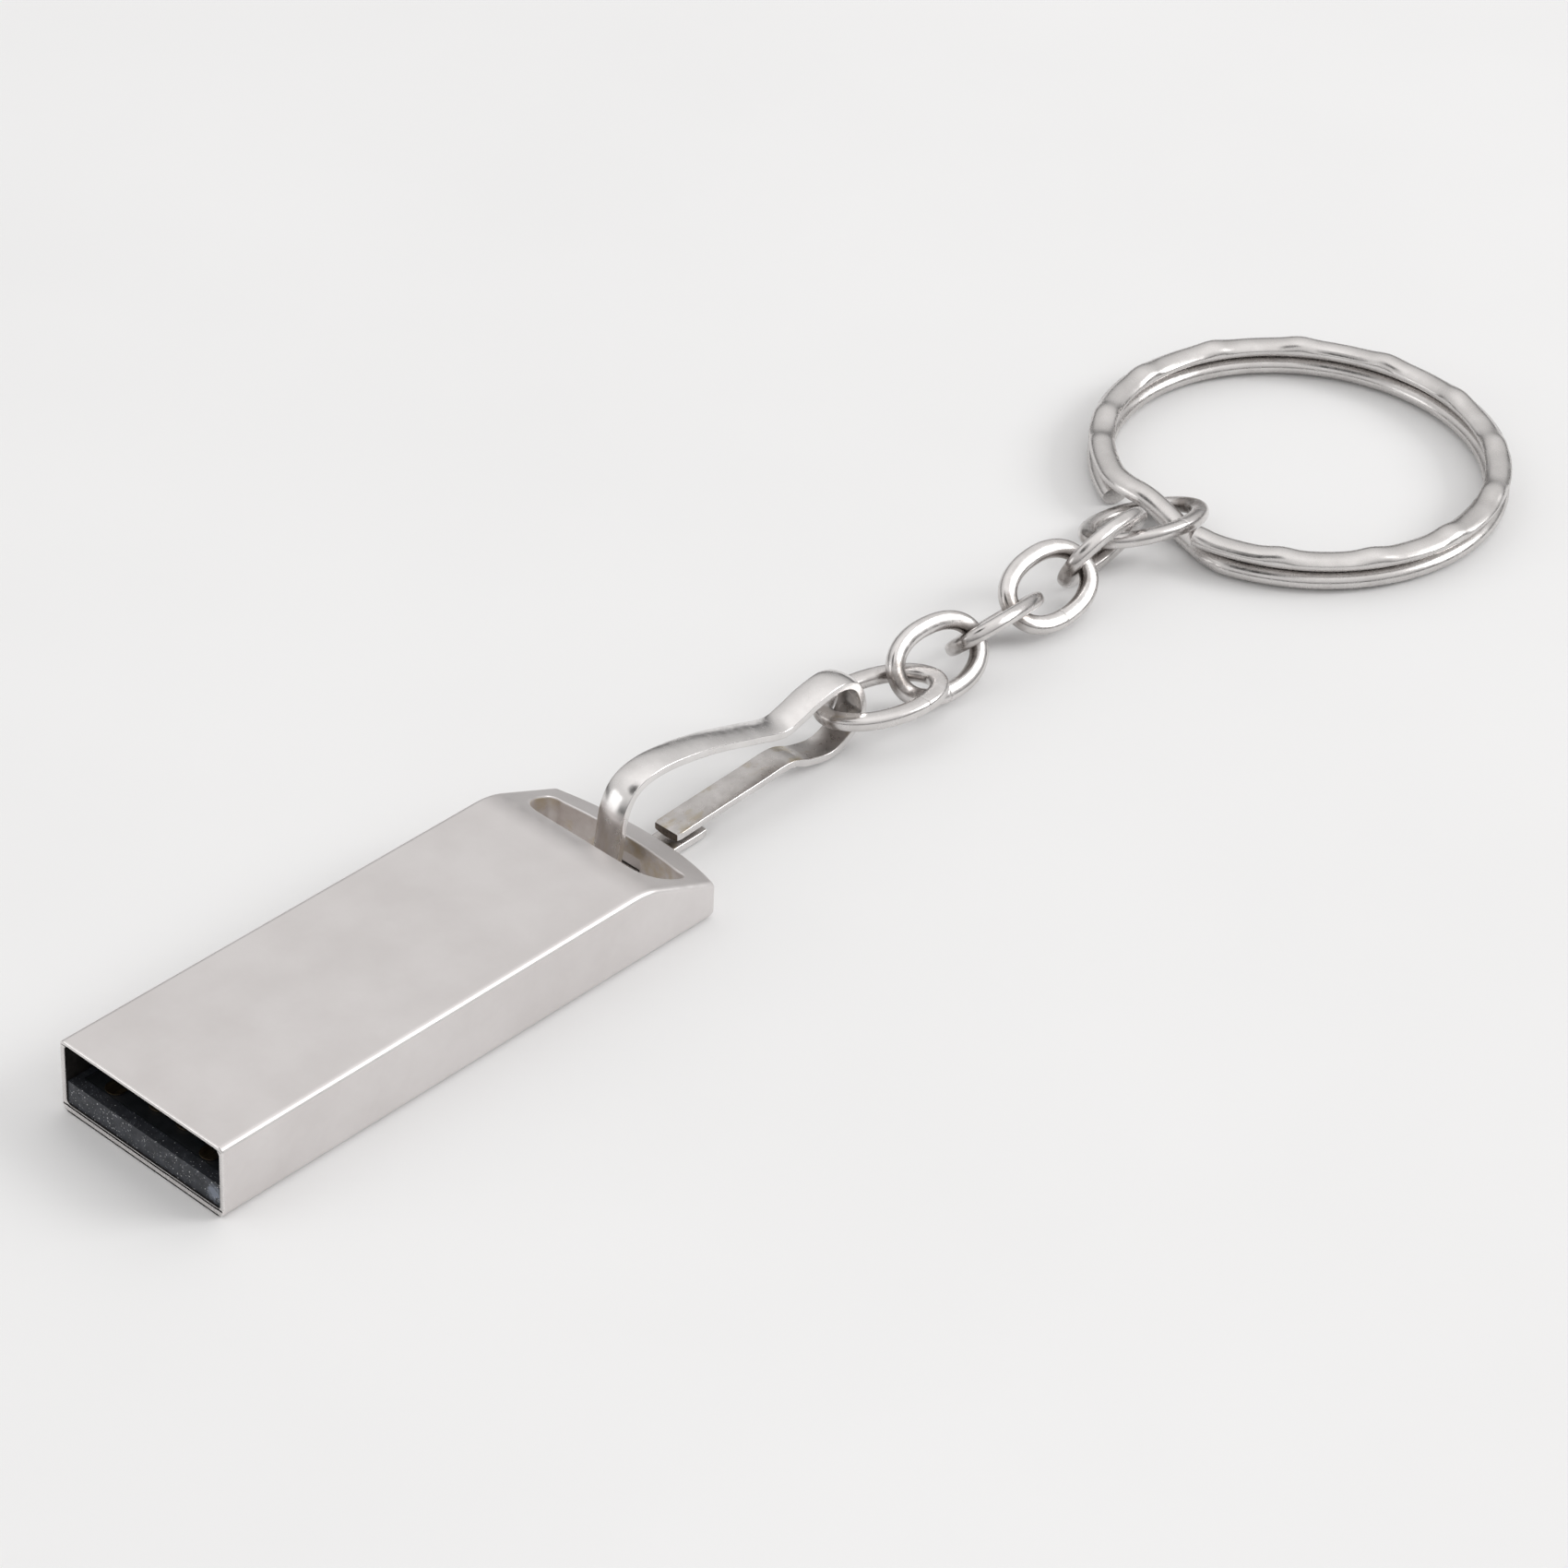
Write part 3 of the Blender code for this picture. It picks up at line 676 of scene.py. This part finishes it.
def plan_outline(inset):
    """The housing's outline from above, drawn in by an inset everywhere but at the mouth."""
    radius = arc_radius(WIDTH / 2, END_MIDDLE_Y - END_CORNER_Y) - inset
    half = WIDTH / 2 - inset
    middle = END_MIDDLE_Y - inset
    corner_y = middle - radius + sqrt(radius**2 - half * half)
    fillet = CORNER_RADIUS + inset * CORNER_GROWTH
    bow = arc_between((-half, corner_y), middle, (half, corner_y), BOW_STEPS)
    corners = [(-half, MOUTH_Y, 0.0), (-half, corner_y, fillet)]
    corners += [(x, y, 0.0) for x, y in bow[BOW_STEPS_AT_CORNERS:-BOW_STEPS_AT_CORNERS]]
    corners += [(half, corner_y, fillet), (half, MOUTH_Y, 0.0)]
    return filleted(corners)


def housing_outside():
    """A stack of outlines that curls in under the bottom edge, cut to the side profile and rounded."""
    levels = []
    for step in range(BOTTOM_EDGE_STEPS + 1):
        turn = pi / 2 * step / BOTTOM_EDGE_STEPS
        levels.append((BOTTOM_EDGE_RADIUS * (1 - cos(turn)), BOTTOM_EDGE_RADIUS * (1 - sin(turn))))
    levels.append((HEIGHT + PAST, 0.0))
    body = bmesh.new()
    rings = [[body.verts.new((x, y, z)) for x, y in plan_outline(inset)] for z, inset in levels]
    join_rings(body, rings)
    half = WIDTH / 2 + FAR_PAST
    body = combined(body, prism(side_profile(), "YZ", -half, half), "INTERSECT")
    rounded(body, is_top_edge, TOP_EDGE_RADIUS, segments=6)
    return body


def lies_on_mouth(edge):
    return all(vert.co.y < MOUTH_Y + NEAR_PLANE for vert in edge.verts)


def is_mouth_rim(edge):
    return lies_on_mouth(edge) and edge.calc_face_angle(0.0) > radians(CREASE_ANGLE)


def drops_off(edge):
    """Whether a face that looks up meets an upright face here."""
    ups = sorted(face.normal.z for face in edge.link_faces)
    return ups[1] > LOOKS_UP and abs(ups[0]) < UPRIGHT


def is_top_edge(edge):
    return drops_off(edge) and not lies_on_mouth(edge)


def in_slot(spot, margin):
    """Whether a point is over the slot or no further than margin outside it."""
    beside = abs(spot.x) < SLOT_HALF_WIDTH + margin
    return beside and SLOT_FRONT_Y - margin < spot.y < SLOT_MIDDLE_Y + margin


def is_slot_rim(edge):
    middle = (edge.verts[0].co + edge.verts[1].co) / 2
    return in_slot(middle, NEAR_RIM) and drops_off(edge)


def slot_outline():
    """The slot from above: its near side, its left corner, its bowed far side, its right corner."""
    side = SLOT_HALF_WIDTH
    bow_start = (-SLOT_BOW_HALF_WIDTH, SLOT_SIDE_Y)
    bow_end = (SLOT_BOW_HALF_WIDTH, SLOT_SIDE_Y)
    far = arc_between(bow_start, SLOT_MIDDLE_Y, bow_end, steps=14)
    near = filleted(
        [
            (side, SLOT_STRAIGHT_Y, 0.0),
            (side, SLOT_FRONT_Y, SLOT_FRONT_RADIUS),
            (-side, SLOT_FRONT_Y, SLOT_FRONT_RADIUS),
            (-side, SLOT_STRAIGHT_Y, 0.0),
        ],
        steps=10,
    )
    left = filleted(
        [
            (-side, SLOT_STRAIGHT_Y, 0.0),
            (-side, SLOT_SIDE_Y, SLOT_BACK_RADIUS),
            (*bow_start, 0.0),
        ],
        steps=5,
    )
    right = [Vector((-point.x, point.y)) for point in left[::-1]]
    return near + left[1:-1] + far + right[1:-1]


def under_bar_outline():
    """The notch from the side: what is cut away round the lower half of the bar."""
    return filleted(
        [
            (SLOT_MIDDLE_Y - PAST, -PAST, 0.0),
            (END_MIDDLE_Y + PAST, -PAST, 0.0),
            (END_MIDDLE_Y + PAST, BAR_SHAPED_TO, 0.0),
            (END_MIDDLE_Y, BAR_SHAPED_TO, 0.0),
            (END_MIDDLE_Y, BAR_BOTTOM, BAR_BOTTOM_RADIUS),
            (*BAR_INNER_CORNER, 0.0),
            (SLOT_MIDDLE_Y, BAR_SHAPED_TO, 0.0),
            (SLOT_MIDDLE_Y - PAST, BAR_SHAPED_TO, 0.0),
        ]
    )


def cavity_outline():
    """The plug's cavity, seen through the mouth."""
    inner = WIDTH / 2 - SIDE_WALL
    low, high = BOTTOM_WALL, HEIGHT - TOP_WALL
    corners = ((-inner, low), (inner, low), (inner, high), (-inner, high))
    return filleted([(x, z, CAVITY_CORNER_RADIUS) for x, z in corners], steps=5)


def make_housing(nickel, edge, cavity, slot):
    """The casting, with the frost on its faces and a polish on the rim of its mouth."""
    body = housing_outside()
    body = combined(body, prism(slot_outline(), "XY", -PAST, HEIGHT + PAST), "DIFFERENCE")
    rounded(body, is_slot_rim, SLOT_RIM_RADIUS, segments=4)
    relief = prism(under_bar_outline(), "YZ", -NOTCH_HALF_WIDTH, NOTCH_HALF_WIDTH)
    body = combined(body, relief, "DIFFERENCE")
    body = combined(body, prism(cavity_outline(), "XZ", MOUTH_Y - PAST, CAVITY_END_Y), "DIFFERENCE")
    rounded(body, is_mouth_rim, MOUTH_RIM_RADIUS, segments=3)
    for face in body.faces:
        face.material_index = housing_finish(face)
    made = piece("housing_shell", body, (nickel, edge, cavity, slot))
    weighted = made.modifiers.new("face_weighted_normals", "WEIGHTED_NORMAL")
    weighted.keep_sharp = True
    stand_in(made, "housing", "housing")


def housing_finish(face):
    """Which of the housing's four finishes a face has."""
    middle = face.calc_center_median()
    between_sides = abs(middle.x) < WIDTH / 2 - SIDE_WALL + NEAR_PLANE
    between_walls = BOTTOM_WALL - NEAR_PLANE < middle.z < HEIGHT - TOP_WALL + NEAR_PLANE
    behind_mouth = MOUTH_Y + CAVITY_SHADE_DEPTH < middle.y < CAVITY_END_Y + NEAR_PLANE
    # The cavity's walls take the painted shade.
    if between_sides and between_walls and behind_mouth:
        return CAVITY
    if in_slot(middle, NEAR_PLANE) and abs(face.normal.z) < UPRIGHT:
        return SLOT_WALL
    if middle.y < MOUTH_Y + POLISHED_DEPTH:
        return POLISHED
    return FROSTED


def strip_section():
    """The hook strip across: flat inside, square sides and a domed outer face."""
    half, deep = STRIP_WIDTH / 2, STRIP_THICKNESS / 2
    shoulder = deep / 2
    corners = [
        (-half, -deep, STRIP_INNER_RADIUS),
        (half, -deep, STRIP_INNER_RADIUS),
        (half, shoulder, STRIP_OUTER_RADIUS),
    ]
    for step in range(1, DOME_STEPS):
        x = half * (1 - 2 * step / DOME_STEPS) * DOME_REACH
        rise = (deep - shoulder) * (1 - (x / half) ** 2) * DOME_FULLNESS
        corners.append((x, shoulder + rise + DOME_LIFT, 0.0))
    corners.append((-half, shoulder, STRIP_OUTER_RADIUS))
    return filleted(corners, steps=4)


def strip_stations(route):
    """Stations along a strip's route. Each one's up points out of the strip's outer face."""
    points = smooth_route([Vector(spot) for spot in route], ROUTE_STEPS)
    stations = []
    for index, spot in enumerate(points):
        ahead = points[min(index + 1, len(points) - 1)] - points[max(index - 1, 0)]
        outward = Vector((0.0, -ahead.y, ahead.x)).normalized()
        stations.append((Vector((0.0, spot.x, spot.y)), Vector((1.0, 0.0, 0.0)), outward))
    return stations


def make_strip(name, stations, cut_end, materials):
    """One stretch of the hook. cut_end is the index of the station at its cut end."""
    section = strip_section()

    def section_at(index):
        size = CUT_END_SIZE if index == cut_end else 1.0
        return [(a * size, b * size) for a, b in section]

    work = sweep(stations, section_at, closed=False)
    tip = stations[cut_end][0]
    for face in work.faces:
        middle = face.calc_center_median()
        nearest = min(stations, key=lambda station: (station[0] - middle).length)
        is_cap = len(face.verts) > 4
        if is_cap and (middle - tip).length < CUT_END_REACH:
            face.material_index = CUT
        elif face.normal.dot(nearest[2]) < -INWARD_COSINE:
            face.material_index = INNER
        else:
            face.material_index = OUTER
    return piece(name, work, materials, sharp_angle=50)


def make_hook(outer, inner, cut):
    """The strip in two pieces from one row of stations. The gate's piece starts at the gate's root."""
    materials = (outer, inner, cut)
    stations = strip_stations(HOOK_ROUTE)
    split = GATE_FIRST_POINT * ROUTE_STEPS
    body = make_strip("hook_body_strip", stations[: split + 1], 0, materials)
    stand_in(body, "hook", "hook_body")
    gate_stations = stations[split:]
    gate = make_strip("hook_gate_strip", gate_stations, len(gate_stations) - 1, materials)
    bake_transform(gate)
    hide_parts("hook_gate")


def link_axes(heading, rise, roll):
    """Unit vectors along a link and across it."""
    along = Vector((sin(heading) * cos(rise), cos(heading) * cos(rise), sin(rise)))
    flat = along.cross(Vector((0, 0, 1))).normalized()
    across = flat * cos(roll) + flat.cross(along) * sin(roll)
    return along, across


def link_angles(seam):
    """Angles round a link, closer together at its butt seam."""
    angles = [360 * step / LINK_STEPS for step in range(LINK_STEPS)]
    close = [seam + offset for offset in SEAM_OFFSETS]
    far = [angle for angle in angles if degrees_apart(angle, seam) > SEAM_CLEARANCE]
    return sorted(far + close)


def make_link(number, row, seam, material):
    """One link: a closed oval of worn wire with a fine butt seam."""
    x, y, z, heading, rise, roll, length, width, squareness = row
    along, across = link_axes(radians(heading), radians(rise), radians(roll))
    normal = along.cross(across)
    reach, spread = (length - WIRE_DIAMETER) / 2, (width - WIRE_DIAMETER) / 2
    middle = Vector((x, y, z)) + along * reach
    angles = link_angles(seam)

    def centre(angle):
        turn = radians(angle)
        a = signed_power(cos(turn), 2 / squareness) * reach
        b = signed_power(sin(turn), 2 / squareness) * spread
        return middle + along * a + across * b

    stations = []
    for angle in angles:
        ahead = (centre(angle + LINK_TANGENT_STEP) - centre(angle - LINK_TANGENT_STEP)).normalized()
        stations.append((centre(angle), ahead.cross(normal).normalized(), normal))
    radius = WIRE_DIAMETER / 2 - WIRE_TRIM
    outer_sign = 1 if (stations[0][0] - middle).dot(stations[0][1]) > 0 else -1

    def section_at(index):
        gap = degrees_apart(angles[index], seam)
        size = 1 - SEAM_DEPTH * exp(-((gap / SEAM_WIDTH) ** 2))
        wide = (radius + WIRE_SPREAD / 2) * size
        high = (WIRE_DIAMETER / 2 - WIRE_FLATTENING) * size
        points = []
        for step in range(WIRE_SECTION_STEPS):
            turn = 2 * pi * step / WIRE_SECTION_STEPS
            a = signed_power(cos(turn), WIRE_SQUARENESS) * wide + outer_sign * WIRE_SPREAD / 2
            points.append((a, signed_power(sin(turn), WIRE_SQUARENESS) * high))
        return points

    work = sweep(stations, section_at, closed=True)
    made = piece(f"link_wire_{number}", work, (material,), sharp_angle=60)
    node = f"chain_link_{number}"
    stand_in(made, node, node)


def ring_point(angle):
    """The ring wire's centre at an angle."""
    first, deepest, last = STEP_DIP_ANGLES
    dip = ease(angle, first, deepest) - ease(angle, deepest, last)
    radius = RING_RADIUS - STEP_DIP * dip
    height = RING_UPPER_Z + (RING_LOWER_Z - RING_UPPER_Z) * ease(angle, *STEP_DOWN_ANGLES)
    turn = radians(angle)
    return RING_CENTRE + Vector((cos(turn) * radius, sin(turn) * radius, height))


def facet_depth(angle):
    """0 on the ridges of the hammered upper turn and 1 in its facets."""
    if angle > FACETS_END:
        return ease(FACETS_END + FACETS_FADE - angle, 0, FACETS_FADE)
    apart = (angle - FIRST_RIDGE + RIDGE_PITCH / 2) % RIDGE_PITCH - RIDGE_PITCH / 2
    return 1 - exp(-((apart / RIDGE_WIDTH) ** 2))


def make_ring(material):
    """The coil of oval wire. Its upper turn is hammered into a row of shallow facets."""
    count = ceil((RING_END - RING_START) / RING_STEP)
    angles = [RING_START + (RING_END - RING_START) * step / count for step in range(count + 1)]
    stations = []
    for angle in angles:
        ahead = ring_point(angle + RING_TANGENT_STEP) - ring_point(angle - RING_TANGENT_STEP)
        ahead.normalize()
        outward = ahead.cross(Vector((0, 0, 1))).normalized()
        stations.append((ring_point(angle), outward, outward.cross(ahead)))

    def section_at(index):
        depth = facet_depth(angles[index])
        size = RING_END_SIZE if index in (0, len(angles) - 1) else 1.0
        points = []
        for step in range(WIRE_SECTION_STEPS):
            turn = 2 * pi * step / WIRE_SECTION_STEPS
            a = cos(turn) * RING_WIRE_WIDTH / 2 * size
            b = sin(turn) * RING_WIRE_HEIGHT / 2 * size
            if b > 0:
                b *= 1 - FACET_LOWERING * depth
            if b > FACET_PINCH_HEIGHT:
                a *= 1 - FACET_PINCH * depth
            points.append((a, b))
        return points

    made = piece("ring_coil", sweep(stations, section_at, closed=False), (material,), sharp_angle=60)
    stand_in(made, "split_ring", "split_ring")


def dress_module(finishes):
    """Gives the CAD pieces whose names start with a key that key's material."""
    for name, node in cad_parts.items():
        for start, material in finishes.items():
            if name.startswith(start):
                node.data.materials.clear()
                node.data.materials.append(material)


# ---------------------------------------------------------------- stage


def make_camera():
    """The camera at the photograph's angle, tilted by its roll."""
    azimuth, elevation, roll = (
        radians(angle) for angle in (CAMERA_AZIMUTH, CAMERA_ELEVATION, CAMERA_ROLL)
    )
    back = Vector((sin(azimuth) * cos(elevation), -cos(azimuth) * cos(elevation), sin(elevation)))
    right = (-back).cross(Vector((0, 0, 1))).normalized()
    up = right.cross(-back)
    tilted_right = right * cos(roll) + up * sin(roll)
    tilted_up = up * cos(roll) - right * sin(roll)
    data = bpy.data.cameras.new("camera")
    data.lens = CAMERA_LENS
    data.sensor_width = SENSOR_WIDTH
    data.clip_start = 0.01
    camera = bpy.data.objects.new("camera", data)
    turn = Matrix((tilted_right, tilted_up, back)).transposed().to_4x4()
    camera.matrix_world = Matrix.Translation((CAMERA_TARGET + back * CAMERA_DISTANCE) * MM) @ turn
    bpy.context.scene.collection.objects.link(camera)
    bpy.context.scene.camera = camera


def make_floor(material):
    """A wide plain floor at the level that the drive lies on."""
    work = bmesh.new()
    bmesh.ops.create_grid(work, x_segments=8, y_segments=8, size=FLOOR_SIZE)
    bmesh.ops.translate(work, vec=(0, 0, FLOOR_Z), verts=work.verts)
    piece("floor", work, (material,))


def add_light(name, direction, distance, size, power):
    """A square soft light that shines at the drive from a direction."""
    data = bpy.data.lights.new(name, "AREA")
    data.shape = "SQUARE"
    data.size = size
    data.energy = power
    light = bpy.data.objects.new(name, data)
    facing = Vector(direction).normalized()
    light.location = LIGHT_AIM + facing * distance
    light.rotation_euler = facing.to_track_quat("Z", "Y").to_euler()
    bpy.context.scene.collection.objects.link(light)


def make_world():
    """A light tent: white overhead, darker towards the horizon, with a dark gap high up in front."""
    world = bpy.data.worlds.new("studio")
    world.use_nodes = True
    tree = world.node_tree
    place = tree.nodes.new("ShaderNodeTexCoord")
    split = tree.nodes.new("ShaderNodeSeparateXYZ")
    ramp = tree.nodes.new("ShaderNodeValToRGB")
    tree.links.new(place.outputs["Generated"], split.inputs["Vector"])
    tree.links.new(split.outputs["Z"], ramp.inputs["Fac"])
    elements = ramp.color_ramp.elements
    while len(elements) < len(SKY_STOPS):
        elements.new(0.5)
    for element, (height, level) in zip(elements, SKY_STOPS):
        element.position = height
        element.color = (*(level * share for share in SKY_TINT), 1.0)
    facing = tree.nodes.new("ShaderNodeVectorMath")
    facing.operation = "DOT_PRODUCT"
    facing.inputs[1].default_value = Vector(GAP_DIRECTION).normalized()
    tree.links.new(place.outputs["Generated"], facing.inputs[0])
    gap = tree.nodes.new("ShaderNodeMapRange")
    gap.interpolation_type = "SMOOTHSTEP"
    gap.inputs["From Min"].default_value, gap.inputs["From Max"].default_value = GAP_COSINES
    gap.inputs["To Min"].default_value, gap.inputs["To Max"].default_value = 1.0, GAP_STRENGTH
    tree.links.new(facing.outputs["Value"], gap.inputs["Value"])
    tree.links.new(gap.outputs["Result"], tree.nodes["Background"].inputs["Strength"])
    tree.links.new(ramp.outputs["Color"], tree.nodes["Background"].inputs["Color"])
    bpy.context.scene.world = world


def make_stage():
    make_camera()
    make_floor(pale_floor())
    make_world()
    add_light("key_behind_right", (0.59, 0.61, 0.53), distance=0.9, size=0.36, power=2.5)
    add_light("fill_low_front", (-0.53, -0.83, 0.2), distance=0.8, size=0.42, power=0.75)
    bpy.context.scene.view_settings.view_transform = "Standard"


def make_drive():
    """Every piece of the drive, from the plug to the ring, and the finishes of the CAD's own pieces."""
    make_housing(
        frosted_nickel(), polished_nickel_edge(), cavity_nickel_painted_shade(), stained_slot_nickel()
    )
    make_hook(plated_strip(), tarnished_strip(), cut_strip_end())
    contacts = [row[:3] for row in CHAIN_LINKS] + [CHAIN_END]
    for number, (row, seam) in enumerate(zip(CHAIN_LINKS, SEAM_ANGLES), 1):
        make_link(number, row, seam, polished_wire(number, contacts[number - 1 : number + 1]))
    make_ring(ring_steel())
    finishes = {"carrier_tray": tray_plastic(), "contact_": plated_contact()}
    for start, *look in MOTTLED_FINISHES:
        finishes[start] = mottled(*look)
    dress_module(finishes)


make_stage()
make_drive()
bpy.context.view_layer.update()
